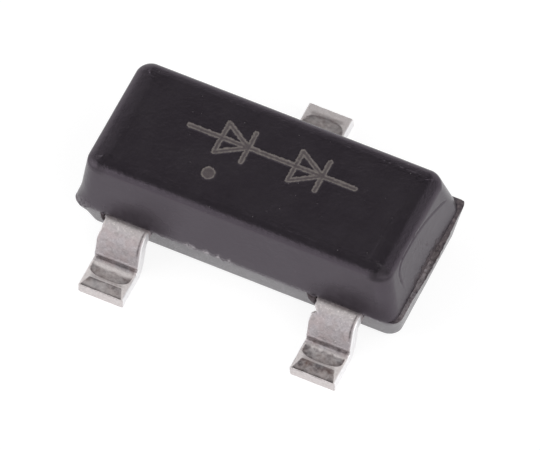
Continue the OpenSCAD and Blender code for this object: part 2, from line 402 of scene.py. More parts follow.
class Shader:
    """A material under construction: its nodes and links."""

    def __init__(self, name):
        self.material = bpy.data.materials.new(name)
        self.material.use_nodes = True
        self.tree = self.material.node_tree
        self.surface = self.tree.nodes["Principled BSDF"]
        coordinates = self.node("ShaderNodeTexCoord")
        self.place = self.node("ShaderNodeVectorMath", operation="SCALE")
        self.link(coordinates.outputs["Object"], self.place.inputs[0])
        self.place.inputs["Scale"].default_value = 1 / MM

    def node(self, kind, **settings):
        made = self.tree.nodes.new(kind)
        for key, value in settings.items():
            setattr(made, key, value)
        return made

    def link(self, source, target):
        self.tree.links.new(source, target)

    def noise(self, size, detail=2.0, rough=0.5, squash=(1, 1, 1)):
        """Noise with features of a size in millimetres, about 0.5 in the middle."""
        made = self.node("ShaderNodeTexNoise")
        made.inputs["Scale"].default_value = 1 / size
        made.inputs["Detail"].default_value = detail
        made.inputs["Roughness"].default_value = rough
        source = self.place.outputs["Vector"]
        if squash != (1, 1, 1):
            stretched = self.node("ShaderNodeMapping")
            stretched.inputs["Scale"].default_value = squash
            self.link(source, stretched.inputs["Vector"])
            source = stretched.outputs["Vector"]
        self.link(source, made.inputs["Vector"])
        return made.outputs["Fac"]

    def cells(self, size):
        """Distance to the nearest of scattered points, in cells of a size in millimetres."""
        made = self.node("ShaderNodeTexVoronoi")
        made.inputs["Scale"].default_value = 1 / size
        self.link(self.place.outputs["Vector"], made.inputs["Vector"])
        return made.outputs["Distance"]

    def mask(self, name):
        """One of the piece's own point masks."""
        return self.node("ShaderNodeAttribute", attribute_name=name).outputs["Fac"]

    def remap(self, value, low, high, to_low=0.0, to_high=1.0):
        made = self.node("ShaderNodeMapRange")
        set_range(made, low, high, to_low, to_high)
        self.link(value, made.inputs["Value"])
        return made.outputs["Result"]

    def math(self, operation, a, b):
        made = self.node("ShaderNodeMath", operation=operation)
        for socket, value in zip(made.inputs, (a, b)):
            if isinstance(value, (int, float)):
                socket.default_value = value
            else:
                self.link(value, socket)
        return made.outputs["Value"]

    def times(self, a, b):
        return self.math("MULTIPLY", a, b)

    def patchy(self, name, noise, low, high, least=0.0):
        """A point mask broken up by noise."""
        return self.times(self.mask(name), self.remap(noise, low, high, least))

    def mix(self, factor, a, b):
        """Blend of two colours; each is a colour or a socket."""
        made = self.node("ShaderNodeMix", data_type="RGBA")
        self.link(factor, made.inputs["Factor"])
        for socket, value in ((made.inputs["A"], a), (made.inputs["B"], b)):
            if isinstance(value, tuple):
                socket.default_value = (*value, 1.0)
            else:
                self.link(value, socket)
        return made.outputs["Result"]

    def bump(self, height, distance, under=None):
        """Normal bent by a height from 0 to 1 over a distance in millimetres."""
        made = self.node("ShaderNodeBump")
        made.inputs["Distance"].default_value = distance * MM
        self.link(height, made.inputs["Height"])
        if under is not None:
            self.link(under, made.inputs["Normal"])
        return made.outputs["Normal"]

    def set(self, **values):
        """Sets the surface's inputs by name, _ for a space, to numbers, colours or sockets."""
        for key, value in values.items():
            socket = self.surface.inputs[key.replace("_", " ")]
            if isinstance(value, bpy.types.NodeSocket):
                self.link(value, socket)
            elif isinstance(value, tuple):
                socket.default_value = (*value, 1.0)
            else:
                socket.default_value = value


# Layers on the epoxy, in turn: mask, colour, the noise that breaks the layer up, and that noise's limits with
# the least share that shows, 0 where none is given
EPOXY_LAYERS = (
    ("scuff", (0.045, 0.042, 0.045), (0.03, 3, 0.6), (0.42, 0.60)),
    ("flash", (0.044, 0.035, 0.032), (0.02, 2), (0.25, 0.60, 0.55)),
    ("seam", (0.152, 0.128, 0.125), (0.035, 3, 0.6), (0.35, 0.65, 0.15)),
    # This layer is painted shade: the painted reflections of the front leads and the painted shade on the
    # front top corners
    ("painted_reflection_and_shade", (0.030, 0.026, 0.030), (0.08, 2), (0.25, 0.60, 0.70)),
    ("torn", (0.17, 0.15, 0.145), (0.022, 3, 0.6), (0.58, 0.70)),
    # This layer is pale crumbs, and also painted light on the right end's front shelf, its rim and the corner
    # lump
    ("crumbs_and_painted_light", (0.34, 0.32, 0.33), (0.024, 3, 0.6), (0.40, 0.54)),
)


def laser_mark(s, colour):
    """A colour with the burnt mark and its paler rim on it, and where it is burnt."""
    ragged = s.remap(s.noise(0.022, 3, 0.6), 0.30, 0.62, 0.45, 1.0)
    edge = s.math("ADD", s.mask("mark_edge"), s.remap(s.noise(0.025, 2), 0.2, 0.8, -0.007, 0.007))
    burnt = s.times(s.remap(edge, 0.004, -0.004), ragged)
    colour = s.mix(burnt, colour, (0.070, 0.060, 0.054))
    from_rim = s.math("ABSOLUTE", s.math("ADD", edge, 0.005), 0)
    rim = s.times(s.remap(from_rim, 0.010, 0.003), ragged)
    return s.mix(rim, colour, (0.185, 0.168, 0.148)), burnt


def epoxy_material():
    """Black moulding compound: fine spark-eroded grain, filler specks, a laser mark and rough flash."""
    s = Shader("black_moulding_epoxy")
    tint = s.mix(s.remap(s.noise(0.30, 3), 0.35, 0.65), (0.0165, 0.0135, 0.0170), (0.0210, 0.0180, 0.0215))
    specks = s.remap(s.cells(0.055), 0.10, 0.05)
    chosen = s.times(specks, s.remap(s.noise(0.07, 0), 0.62, 0.68))
    colour = s.mix(chosen, tint, (0.11, 0.105, 0.105))
    colour, burnt = laser_mark(s, colour)
    shown = {}
    for name, layer, pattern, limits in EPOXY_LAYERS:
        shown[name] = s.patchy(name, s.noise(*pattern), *limits)
        colour = s.mix(shown[name], colour, layer)
    rough = s.remap(s.noise(0.12, 3), 0.3, 0.7, 0.17, 0.24)
    rough = s.math("ADD", rough, s.times(burnt, 0.45))
    # Duller where the painted reflections of the leads and the painted corner shade lie
    rough = s.math("ADD", rough, s.times(s.mask("painted_reflection_and_shade"), 0.25))
    rough = s.math("ADD", rough, s.times(s.math("MAXIMUM", s.mask("flash"), s.mask("seam")), 0.50))
    fine = s.bump(s.noise(0.011, 2, 0.6), 0.0022)
    coarse = s.bump(s.noise(0.045, 2), 0.0018, fine)
    pitted = s.bump(s.times(burnt, s.noise(0.016, 2)), 0.006, coarse)
    s.set(Base_Color=colour, Roughness=rough, Normal=pitted, IOR=1.69, Specular_Tint=(0.98, 0.83, 1.0))
    # Lower reflectance in the painted reflections of the leads and the painted corner shade
    s.set(Metallic=s.times(shown["painted_reflection_and_shade"], 0.75))
    return s.material


def tin_material():
    """Matt tin plate: crystal grain, bright where it is cut or torn, paler on the foot and dull in the
    pressed marks, with painted light and glints by the body and on the tip's end, and dark lines of bare
    copper and painted shade.
    """
    s = Shader("matt_tin_plate")
    crystals = s.remap(s.noise(0.018, 3, 0.6), 0.30, 0.70)
    tint = s.mix(crystals, (0.37, 0.336, 0.350), (0.515, 0.477, 0.496))
    cloud = s.remap(s.noise(0.09, 2), 0.42, 0.62)
    tint = s.mix(s.times(cloud, 0.45), tint, (0.47, 0.385, 0.385))
    stain = s.remap(s.noise(0.06, 3, 0.6), 0.54, 0.66)
    tint = s.mix(s.times(stain, 0.40), tint, (0.27, 0.245, 0.235))
    # Painted light and glints: a pale band on the bend just out of the body, with pale specks in it and over
    # the tin
    specks = s.remap(s.noise(0.024, 3, 0.6), 0.48, 0.62)
    glints = s.times(s.mask("exit_painted_light"), s.math("MAXIMUM", specks, 0.52))
    glints = s.math("MAXIMUM", glints, s.remap(s.noise(0.014, 1), 0.70, 0.80))
    pale_and_painted_light = s.math("MAXIMUM", glints, s.mask("pale_and_painted_light"))
    colour = s.mix(pale_and_painted_light, tint, s.mix(crystals, (0.74, 0.685, 0.675), (0.86, 0.81, 0.80)))
    colour = s.mix(s.mask("cut"), colour, (0.95, 0.94, 0.95))
    soiled = s.patchy("soiled", s.noise(0.025, 3), 0.25, 0.65, 0.70)
    dirt = s.mix(s.remap(s.noise(0.09, 2), 0.30, 0.70), (0.094, 0.088, 0.098), (0.130, 0.086, 0.078))
    colour = s.mix(soiled, colour, dirt)
    # Dark lines: bare copper along the right edge, and painted shade in the crease, along the tip's edge and
    # where the body shades the exit
    copper_and_painted_shade = s.patchy("copper_and_painted_shade", s.noise(0.03, 3), 0.30, 0.55, 0.55)
    colour = s.mix(copper_and_painted_shade, colour, (0.052, 0.039, 0.040))
    metal = s.remap(s.math("MAXIMUM", s.mask("exit_painted_light"), s.mask("pale_and_painted_light")), 0, 1, 0.60, 0.12)
    metal = s.math("MAXIMUM", metal, s.mask("cut"))
    rough = s.remap(crystals, 0, 1, 0.52, 0.42)
    rough = s.math("ADD", rough, s.times(s.mask("copper_and_painted_shade"), 0.3))
    grain_bump = s.bump(s.noise(0.014, 3, 0.6), 0.0028)
    wave = s.bump(s.noise(0.05, 2), 0.003, grain_bump)
    drawn = s.bump(s.noise(0.02, 2, 0.5, (1, 0.12, 1)), 0.0012, wave)
    s.set(Base_Color=colour, Roughness=rough, Normal=drawn, Metallic=metal)
    return s.material


def silicon_material():
    """Sawn silicon with faint streaks."""
    s = Shader("sawn_silicon")
    streaks = s.remap(s.noise(0.02, 3, 0.5, (1, 1, 6)), 0.3, 0.7)
    colour = s.mix(streaks, (0.055, 0.060, 0.075), (0.095, 0.100, 0.120))
    s.set(Base_Color=colour, Roughness=s.remap(streaks, 0, 1, 0.14, 0.28), Metallic=0.6, IOR=3.5)
    s.set(Normal=s.bump(s.noise(0.008, 2), 0.0006))
    return s.material


def silver_bond_material():
    """Silver-filled adhesive: flakes in a matt binder."""
    s = Shader("silver_filled_bond")
    flakes = s.remap(s.cells(0.009), 0.2, 0.7)
    colour = s.mix(flakes, (0.74, 0.73, 0.70), (0.40, 0.39, 0.37))
    s.set(Base_Color=colour, Roughness=s.remap(flakes, 0, 1, 0.34, 0.62), Metallic=0.8)
    s.set(Normal=s.bump(flakes, 0.002))
    return s.material


def gold_material():
    """Drawn gold wire with faint die lines."""
    s = Shader("drawn_gold")
    lines = s.remap(s.noise(0.006, 2, 0.5, (0.15, 0.15, 1)), 0.3, 0.7)
    colour = s.mix(lines, (0.86, 0.58, 0.20), (0.94, 0.69, 0.30))
    s.set(Base_Color=colour, Roughness=s.remap(lines, 0, 1, 0.16, 0.26), Metallic=1.0)
    s.set(Normal=s.bump(lines, 0.0004))
    return s.material


# The moulded body
BODY_COUNT_L = 256
BODY_COUNT_W = 112
EDGE_STEPS = 5
LOWER_STEPS = 8
SCAR_STEPS = 12
PLAIN_STEPS = 5
PANEL_STEPS = 22
ROUND_STEPS = 18
FINE_STEPS = 40


def tan_deg(angle):
    return math.tan(math.radians(angle))


def edge_profile(tilts, steps):
    """How far in and down a rounded edge lies at even steps, from a list of surface tilts and lengths."""
    lengths = np.cumsum([length for tilt, length in tilts])
    at = np.linspace(0, lengths[-1], FINE_STEPS * steps + 1)
    tilt = np.radians(np.interp(at, lengths, [tilt for tilt, length in tilts]))
    step = at[1]
    inward = np.concatenate([[0], np.cumsum(np.cos(tilt[1:]) * step)])
    rise = np.concatenate([[0], np.cumsum(np.sin(tilt[1:]) * step)])
    return inward[::FINE_STEPS], (rise[-1] - rise)[::FINE_STEPS]


def outline(z, upper):
    """The body's outline at heights z, one height for each of its points, and its normals."""
    above = np.maximum(z - PART_Z, 0)
    below = np.maximum(PART_Z - z, 0)
    left = HALF_L - above * tan_deg(LEFT_DRAFT) - below * tan_deg(LOWER_END_DRAFT)
    right = HALF_L - above * tan_deg(RIGHT_DRAFT) - below * tan_deg(LOWER_END_DRAFT)
    right = right + (UPPER_OUT if upper else SHELF)
    front = HALF_W - above * tan_deg(FRONT_DRAFT) - below * tan_deg(LOWER_SIDE_DRAFT)
    back = HALF_W - above * tan_deg(BACK_DRAFT) - below * tan_deg(LOWER_SIDE_DRAFT)
    r = UPPER_CORNER_R if upper else LOWER_CORNER_R
    points, normals = rounded_ring((left + right) / 2, (front + back) / 2, r, BODY_COUNT_L, BODY_COUNT_W)
    x, y = points.T
    x += (right - left) / 2
    y += (back - front) / 2
    if not upper:
        x += SHELF_SKEW * y / HALF_W * np.maximum(normals[:, 0], 0)
        y += FRONT_INSET * np.maximum(-normals[:, 1], 0)
        y += BACK_SHELF * np.maximum(normals[:, 1], 0) * ease((x - 0.4) / 0.8)
    return points, normals


def facing(points, name):
    """1 for points on the side of the body that a lead leaves."""
    outwards = 1 if name == "lead_3" else -1
    return (points[:, 1] * outwards > HALF_W - UPPER_CORNER_R / 2) * 1.0


def resin_lumps(points):
    """Ramps that rise to 1 towards the left edge of each lead's exit."""
    ramps = np.zeros(len(points))
    for name, x in LEAD_X.items():
        edge = x - LEAD_W / 2 + BITE[name]
        ramp = (points[:, 0] - edge + LUMPS[name]) / LUMPS[name]
        ramps = np.maximum(ramps, facing(points, name) * np.clip(ramp, 0, 1) * (points[:, 0] < edge + 0.01))
    return ramps


def lead_gap(points):
    """1 away from the leads' exits and 0 over them."""
    gap = np.ones(len(points))
    for name, x in LEAD_X.items():
        over = ease((LEAD_W / 2 + GAP_FADE - np.abs(points[:, 0] - x)) / GAP_FADE)
        gap = np.minimum(gap, 1 - facing(points, name) * over)
    return gap


def flash_profile(points, normals):
    """How far the flash stands out of the parting line, and how thick it is."""
    place = np.column_stack([points, np.zeros(len(points))])
    fine = grain(place, 0.030, 1)
    wide = grain(place, 0.11, 2)
    sides = ease((0.7 - normals[:, 0]) / 0.4)
    ragged = ease((fine + 0.6 * wide - 0.20) / 0.5)
    reach = sides * ragged * (FLASH_REACH[0] + FLASH_REACH[1] * fine)
    depth = np.full(len(points), FLASH_T)
    reach += crumb_hills(points) * (CRUMB_REACH[0] + CRUMB_REACH[1] * fine)
    right = 1 - sides
    gate = right * bump_at(points[:, 1], GATE_Y + GATE_STUB_SHIFT, GATE_L * 1.05)
    reach += right * (0.002 * fine + 0.002 * wide) + gate * (GATE_REACH[0] + GATE_REACH[1] * fine)
    lump = resin_lumps(points)
    reach += ease(2 * lump) * (LUMP_REACH[0] + LUMP_GROWTH * lump + LUMP_REACH[1] * fine)
    depth += lump * (LUMP_T[0] + LUMP_T[1] * fine)
    reach *= lead_gap(points)
    return np.clip(reach, 0.0, MAX_REACH), depth


def crumb_hills(points):
    """Hills of height 1 where crumbs of flash hang on the front parting line."""
    hills = [bump_at(points[:, 0], x, size) * (points[:, 1] < 0) for x, size in CRUMBS]
    return np.maximum.reduce(hills)


def wall_offset(z, normals):
    """Rounds the ridge where the lower wall meets the upper one, off the right end."""
    away = np.abs(z - PART_Z)
    slope = (tan_deg(FRONT_DRAFT) + tan_deg(LOWER_SIDE_DRAFT)) / 2
    return -slope * (np.sqrt(away ** 2 + PARTING_R ** 2) - away) * (normals[:, 0] < 0.5)


def rounded_edge(normals):
    """How far in and down the upper edge lies at each step, for each point of the outline."""
    right = np.maximum(normals[:, 0], 0) ** 1.5
    left = np.maximum(-normals[:, 0], 0) ** 1.5
    shares = (right, left, 1 - right - left)
    profiles = [edge_profile(tilts, ROUND_STEPS) for tilts in (RIGHT_TILTS, LEFT_TILTS, SIDE_TILTS)]
    return [sum(np.outer(p[part], share) for p, share in zip(profiles, shares)) for part in (0, 1)]


def wall_ring(z, inward, upper):
    """One ring of the body at heights z, set in from its outline."""
    points, normals = outline(z, upper)
    points = points - normals * np.broadcast_to(inward, z.shape)[:, None]
    points = points + normals * wall_offset(z, normals)[:, None]
    return np.column_stack([points, z])


def lower_rings(level, reach, depth):
    """Rings of the lower half, from its rounded lower edge up to the flash."""
    rings = []
    for i in range(EDGE_STEPS + 1):
        turn = math.pi / 2 * i / EDGE_STEPS
        lift = LOWER_EDGE_R * (1 - math.cos(turn))
        rings.append(wall_ring(level - PART_Z + BASE_Z + lift, LOWER_EDGE_R * (1 - math.sin(turn)), False))
    low = BASE_Z + LOWER_EDGE_R
    for i in range(1, LOWER_STEPS + 1):
        rings.append(wall_ring(low + (PART_Z - depth - low) * i / LOWER_STEPS, 0.0, False))
    stands = ease(reach / 0.004)
    for i, (share, lift) in enumerate(FLASH_SHAPE):
        lift = stands * lift + (1 - stands) * (i + 1) / (len(FLASH_SHAPE) + 1)
        rings.append(wall_ring(PART_Z - depth * (1 - lift), -reach * share, False))
    return rings


def shelf_rings(level, reach):
    """Rings from the lower half's outline in to the upper half's, rough on the right end."""
    lower, normals = outline(level, False)
    upper = outline(level, True)[0]
    rough = relief(np.column_stack([lower, level]), *SHELF_GRAIN)
    rings = []
    for share in (0.0, 0.25, 0.5, 0.75):
        lift = rough * math.sin(math.pi * (share * 0.6 + 0.2)) * (normals[:, 0] > 0.3)
        out = reach * 0.4 * (1 - share) + wall_offset(level, normals)
        points = lower * (1 - share) + upper * share + normals * out[:, None]
        rings.append(np.column_stack([points, level + lift + SHELF_RISE * share]))
    return rings


def upper_rings(level):
    """Rings of the upper half, closer at the torn gate and the panel, and over the rounded edge."""
    inward, down = rounded_edge(outline(level, True)[1])
    top = TOP_Z - down[0]
    low = PART_Z + SCAR_H
    heights = [level + SHELF_RISE + (SCAR_H - SHELF_RISE) * i / SCAR_STEPS for i in range(SCAR_STEPS + 1)]
    for i in range(1, PLAIN_STEPS + 1):
        heights.append(np.full_like(level, low + (PANEL_LOW_Z - low) * i / PLAIN_STEPS))
    for i in range(1, PANEL_STEPS + 1):
        heights.append(PANEL_LOW_Z + (top - PANEL_LOW_Z) * i / PANEL_STEPS)
    rings = [wall_ring(z, 0.0, True) for z in heights]
    points, normals = outline(top, True)
    for i in range(1, ROUND_STEPS + 1):
        rings.append(np.column_stack([points - normals * inward[i][:, None], TOP_Z - down[i]]))
    return rings


def body_rings():
    """Rings of the body from its lower face up, with the flash and the shelf at the parting line."""
    level = np.full(2 * (BODY_COUNT_L + BODY_COUNT_W), PART_Z)
    reach, depth = flash_profile(*outline(level, False))
    return lower_rings(level, reach, depth) + shelf_rings(level, reach) + upper_rings(level)


def stroke(points, start, end, half_width):
    """Signed distance to a straight stroke with round ends."""
    start, end = np.array(start), np.array(end)
    along = end - start
    share = np.clip((points - start) @ along / (along @ along), 0, 1)
    return np.linalg.norm(points - start - share[:, None] * along, axis=1) - half_width


def mark_distance(points):
    """Signed distance to the laser mark on the upper face."""
    dot = np.linalg.norm(points - DOT_AT, axis=1) - DOT_R
    strokes = [((-MARK_END, MARK_Y), (MARK_END, MARK_Y))]
    for x in (-MARK_DIODE_X, MARK_DIODE_X):
        back, front = x - MARK_DIODE_L / 2, x + MARK_DIODE_L / 2
        low, high = MARK_Y - MARK_DIODE_H / 2, MARK_Y + MARK_DIODE_H / 2
        strokes += [((back, low), (back, high)), ((front, low), (front, high))]
        strokes += [((back, high), (front, MARK_Y)), ((back, low), (front, MARK_Y))]
    distance = dot
    for start, end in strokes:
        distance = np.minimum(distance, stroke(points, start, end, MARK_HALF))
    return distance


def panel_distance(points):
    """Signed distance to the panel on the right end, in that face, and how plainly its outline shows."""
    _, y, z = points.T
    across = PANEL_FRONT_Y + PANEL_R - y
    up = z - PANEL_TOP_Z + (y - PANEL_TOP_Y) ** 2 / (2 * PANEL_TOP_R) + PANEL_R
    outside = np.hypot(np.maximum(across, 0), np.maximum(up, 0))
    plain = ease((PANEL_FADE_Y - y) / 0.05) * ease((z - PANEL_FADE_Z) / 0.10)
    return outside + np.minimum(np.maximum(across, up), 0) - PANEL_R, plain


def painted_lead_reflections(points):
    """Painted reflections of the front leads: darker, duller patches on the front face above them."""
    x, _, z = points.T
    patches = []
    for name, shift, half in PAINTED_LEAD_REFLECTIONS:
        along = (x - (LEAD_X[name] + shift)) / half
        patches.append(ease(1.25 - np.hypot(along, (z - PART_Z - PAINTED_REFLECTION_Z) / PAINTED_REFLECTION_HALF_H)))
    return np.maximum(*patches) * ease((z - PART_Z) / 0.02)


def painted_corner_shade(points):
    """Painted shade on the two front corners of the top edge, dimming their highlights, the left one fainter.
    """
    x, y, z = points.T
    from_middle = np.hypot(np.abs(x) - HALF_L + PAINTED_SHADE_CORNER_IN[0], y + HALF_W - PAINTED_SHADE_CORNER_IN[1])
    near = ease((PAINTED_SHADE_CORNER_R - from_middle) / 0.07) * np.where(x > 0, 1.0, PAINTED_SHADE_LEFT_SHARE)
    return near * ease((z - TOP_Z + 0.10) / 0.04)


def end_flash(points, right):
    """Where the gate is torn off the right end, and where the seam of the shelf shows."""
    _, y, z = points.T
    upwards = np.clip((z - PART_Z) / SCAR_H, -1, 1)
    gate = right * bump_at(y, GATE_Y, GATE_L * 0.8)
    torn = gate * ease((0.75 - upwards + 0.5 * grain(points, 0.05, 8)) / 0.25) * (upwards > 0)
    on_shelf = np.abs(z - PART_Z) < 0.012
    seam = on_shelf * right * ease((y + HALF_W - 0.02) / 0.08)
    return torn, on_shelf, seam


def crumbs_and_painted_light_mask(points, right, on_shelf, lumps):
    """Pale crumbs along the front parting line, and painted light on the front part of the right end's shelf
    and on the rim under it.
    """
    x, y, z = points.T
    hills = crumb_hills(points)
    along_seam = bump_at(z, PART_Z + 0.012, 0.028 + 0.028 * hills) * (y < -HALF_W / 2)
    crumbs_and_painted_light = along_seam * (x < HALF_L - 0.2) * (0.20 + 0.80 * hills) * (1 - lumps)
    # Painted light on the front part of the right end's shelf and on the rim under it
    near_front = right * ease((0.12 - y) / 0.18) * ease((y + HALF_W - 0.05) / 0.12)
    rim = bump_at(z, PART_Z - 0.012, 0.032)
    return np.maximum(crumbs_and_painted_light, near_front * np.maximum(0.60 * rim, 0.42 * on_shelf))


def scuff_mask(points, top_face):
    """Scuffs near the front-right corner of the upper face."""
    x, y, _ = points.T
    near = bump_at(x, SCUFF_AT[0], SCUFF_HALF[0]) * bump_at(y, SCUFF_AT[1], SCUFF_HALF[1])
    return top_face * near * ease(grain(points * (1.0, 2.4, 1.0), 0.10, 7) * 2.5)


def corner_lump(points):
    """Where the lump at the front-left corner is, from 0 to 1."""
    x, y, z = points.T
    from_corner = np.hypot(x + HALF_L - LUMP_IN, y + HALF_W - LUMP_IN)
    reach = np.where(z > PART_Z - LUMP_BELOW, LUMP_RISE, LUMP_FALL)
    return bump_at(z, PART_Z - LUMP_BELOW, reach) * ease((LUMP_R - from_corner) / LUMP_FADE)


def body_details(points, normals):
    """The body's points moved for its small features, and the material's masks."""
    x, _, z = points.T
    shift = relief(points, *BODY_WAVES) + relief(points, *BODY_GRAIN)
    top_face = (normals[:, 2] > 0.9) & (z > TOP_Z - 0.03)
    distance = mark_distance(points[:, :2])
    shift -= MARK_DEPTH * top_face * ease(0.5 - distance / MARK_WALL)
    on_end = (normals[:, 0] > 0.6) & (z > PART_Z + 0.01)
    inside, plain = panel_distance(points)
    shift -= on_end * plain * PANEL_DEPTH * bump_at(inside, 0.0, PANEL_HALF_W)
    right = ease((x - HALF_L + 0.10) / 0.05)
    torn, on_shelf, seam = end_flash(points, right)
    shift += torn * (relief(points, *TORN_GRAIN) - TORN_DEPTH)
    lumps = ease(3 * resin_lumps(points)) * ease((PART_Z + 0.004 - z) / 0.004)
    crumbs_and_painted_light = crumbs_and_painted_light_mask(points, right, on_shelf, lumps)
    scuff = scuff_mask(points, top_face)
    points = points + normals * shift[:, None]
    bulge = corner_lump(points)
    points[:, 0] -= LUMP_OUT_LEFT * bulge
    points[:, 1] -= LUMP_OUT_FRONT * bulge
    # Painted reflections of the front leads on the front face, and painted shade on the front top corners
    painted_reflection_and_shade = painted_lead_reflections(points) * ease(-normals[:, 1] * 2 - 0.8)
    masks = {
        "mark_edge": np.where(top_face, np.clip(distance, -0.05, 0.05), 0.05),
        "flash": np.maximum(torn, lumps),
        "torn": torn,
        "seam": seam,
        # The corner lump gets some of the pale colour as painted light
        "crumbs_and_painted_light": np.maximum(crumbs_and_painted_light, 0.32 * bulge),
        "scuff": scuff,
        "painted_reflection_and_shade": np.maximum(painted_reflection_and_shade, painted_corner_shade(points) * (normals[:, 2] < 0.97)),
    }
    return points, masks


def build_body(material):
    """The moulding: one closed shell with flash, torn gate, mark and end panel in its mesh."""
    points, faces = lofted(body_rings(), BODY_COUNT_L, BODY_COUNT_W, flat_start=True)
    points, masks = body_details(points, vertex_normals(points, faces))
    underside = list(range(2 * (BODY_COUNT_L + BODY_COUNT_W)))[::-1]
    faces = faces.tolist() + [underside]
    make_piece("epoxy_body", points, faces, material, "mould_body", masks)


# The leads
LEAD_COUNT_W = 60
LEAD_COUNT_T = 18
INNER_STEP = 0.02
OUTER_STEP = 0.006
CORNER_STEP = 0.004

BEND_Y = HALF_W + LEAD_RUN
UPPER_OUTER_R = UPPER_BEND_R + LEAD_T
BEND_Z = PART_Z - UPPER_OUTER_R
BENDS_R = UPPER_OUTER_R + LOWER_BEND_R
SLOPE_FALL = BEND_Z + BENDS_R * math.cos(LEAD_SLOPE) - LEAD_T - LOWER_BEND_R
SLOPE_L = SLOPE_FALL / math.sin(LEAD_SLOPE)
FOOT_Y = BEND_Y + BENDS_R * math.sin(LEAD_SLOPE) + SLOPE_L * math.cos(LEAD_SLOPE)
UPPER_MIDDLE_R = UPPER_BEND_R + LEAD_T / 2
LOWER_MIDDLE_R = LOWER_BEND_R + LEAD_T / 2
BEND_1_END = BEND_Y + UPPER_MIDDLE_R * LEAD_SLOPE
SLOPE_END = BEND_1_END + SLOPE_L
BEND_2_END = SLOPE_END + LOWER_MIDDLE_R * LEAD_SLOPE
PATH_END = BEND_2_END + TIP_Y - FOOT_Y
FOOT_START = SLOPE_END + 0.01


def lead_path(distance):
    """Middle of the sheet and its upward normal, seen from the side, at a distance along it."""
    if distance <= BEND_Y:
        return (distance, PART_Z - LEAD_T / 2), (0.0, 1.0)
    if distance <= BEND_1_END:
        turn = math.pi / 2 - (distance - BEND_Y) / UPPER_MIDDLE_R
        out = (math.cos(turn), math.sin(turn))
        return (BEND_Y + UPPER_MIDDLE_R * out[0], BEND_Z + UPPER_MIDDLE_R * out[1]), out
    if distance <= SLOPE_END:
        (y, z), out = lead_path(BEND_1_END)
        past = distance - BEND_1_END
        return (y + past * math.cos(LEAD_SLOPE), z - past * math.sin(LEAD_SLOPE)), out
    if distance <= BEND_2_END:
        turn = 1.5 * math.pi - LEAD_SLOPE + (distance - SLOPE_END) / LOWER_MIDDLE_R
        out = (math.cos(turn), math.sin(turn))
        middle_z = LEAD_T + LOWER_BEND_R
        return (FOOT_Y + LOWER_MIDDLE_R * out[0], middle_z + LOWER_MIDDLE_R * out[1]), (-out[0], -out[1])
    return (FOOT_Y + distance - BEND_2_END, LEAD_T / 2), (0.0, 1.0)


def pad_of(name):
    """The pad's reach to the left and right of the lead's middle, and where it starts."""
    low, high = node_box(name)
    x = LEAD_X[name]
    start = low[1] if name == "lead_3" else -high[1]
    return x - low[0], high[0] - x, start


def lead_edges(name, sheet):
    """The lead's reach to the left and right of its middle at a distance along the sheet."""
    left, right, start = pad_of(name)
    if sheet <= PAD_END_Y:
        cut = max(PAD_CHAMFER - (sheet - start), PAD_CHAMFER - (PAD_END_Y - sheet), 0.0)
        return left - cut, right - cut
    notch = math.sqrt(max(LOCK_R ** 2 - (sheet - LOCK_Y) ** 2, 0.0))
    half = LEAD_W / 2 - notch
    return half - bitten(name, sheet), half


def bitten(name, sheet):
    """How much is missing from the lead's left edge outside the body."""
    if sheet < HALF_W:
        return 0.0
    missing = BITE[name] * min(max((BITE_END - sheet) / BITE_FADE, 0.0), 1.0)
    if name == "lead_2":
        opening = min((sheet - TEAR_AT + TEAR_RISE) / TEAR_RISE, (TEAR_AT + TEAR_FALL - sheet) / TEAR_FALL)
        missing += TEAR_DEPTH * min(max(opening, 0.0), 1.0)
    return missing


def lead_stations(name):
    """Distances along the sheet at which it gets a ring, closer where its outline changes."""
    start = pad_of(name)[2]
    inner = list(np.arange(start, HALF_W, INNER_STEP))
    inner += [start + PAD_CHAMFER, PAD_END_Y - PAD_CHAMFER, PAD_END_Y, PAD_END_Y + CORNER_STEP]
    inner += [LOCK_Y + LOCK_R * math.cos(math.pi * i / 10) for i in range(11)]
    inner += [HALF_W - 2 * CORNER_STEP, HALF_W - CORNER_STEP]
    outer = list(np.arange(HALF_W, PATH_END - OUTER_STEP / 2, OUTER_STEP)) + [PATH_END]
    stations = sorted(set(round(s, 6) for s in inner + outer))
    kept = [stations[0]]
    for s in stations[1:]:
        if s - kept[-1] > 0.0015:
            kept.append(s)
    return kept


def scoop(name, x, y):
    """Depth and outline of the half-round mark next to the bend."""
    reach = np.clip(1 - np.abs(x / SCOOP_HALF_W) ** 3, 0, 1) ** (1 / 3)
    far = SCOOP_ROUND_Y + (SCOOP_END_Y[name] - SCOOP_ROUND_Y) * reach
    inside = ease((far - y) / 0.016) * ease((SCOOP_HALF_W - np.abs(x)) / 0.016)
    inside = inside * ease((y - SCOOP_HEEL_Y) / 0.02)
    fall = ease((y - SCOOP_HEEL_Y) / (SCOOP_DEEP_Y - SCOOP_HEEL_Y))
    return SCOOP_DEPTH * inside * fall, inside


def tip_mark(name, x, y):
    """Depth and outline of the mark that runs out at the tip."""
    start = TIP_MARK_Y[name]
    along = np.clip((y - start) / (TIP_Y - start), 0, 1)
    half = TIP_MARK_INNER + (TIP_MARK_OUTER - TIP_MARK_INNER) * along
    inside = ease((half - np.abs(x)) / 0.014) * ease((y - start) / 0.011)
    inside = inside * (name != "lead_3")
    lip = bump_at(y, TIP_Y - 0.018, 0.014)
    return inside * (TIP_MARK_DEPTH + TIP_MARK_FALL * along + TIP_MARK_LIP * lip), inside


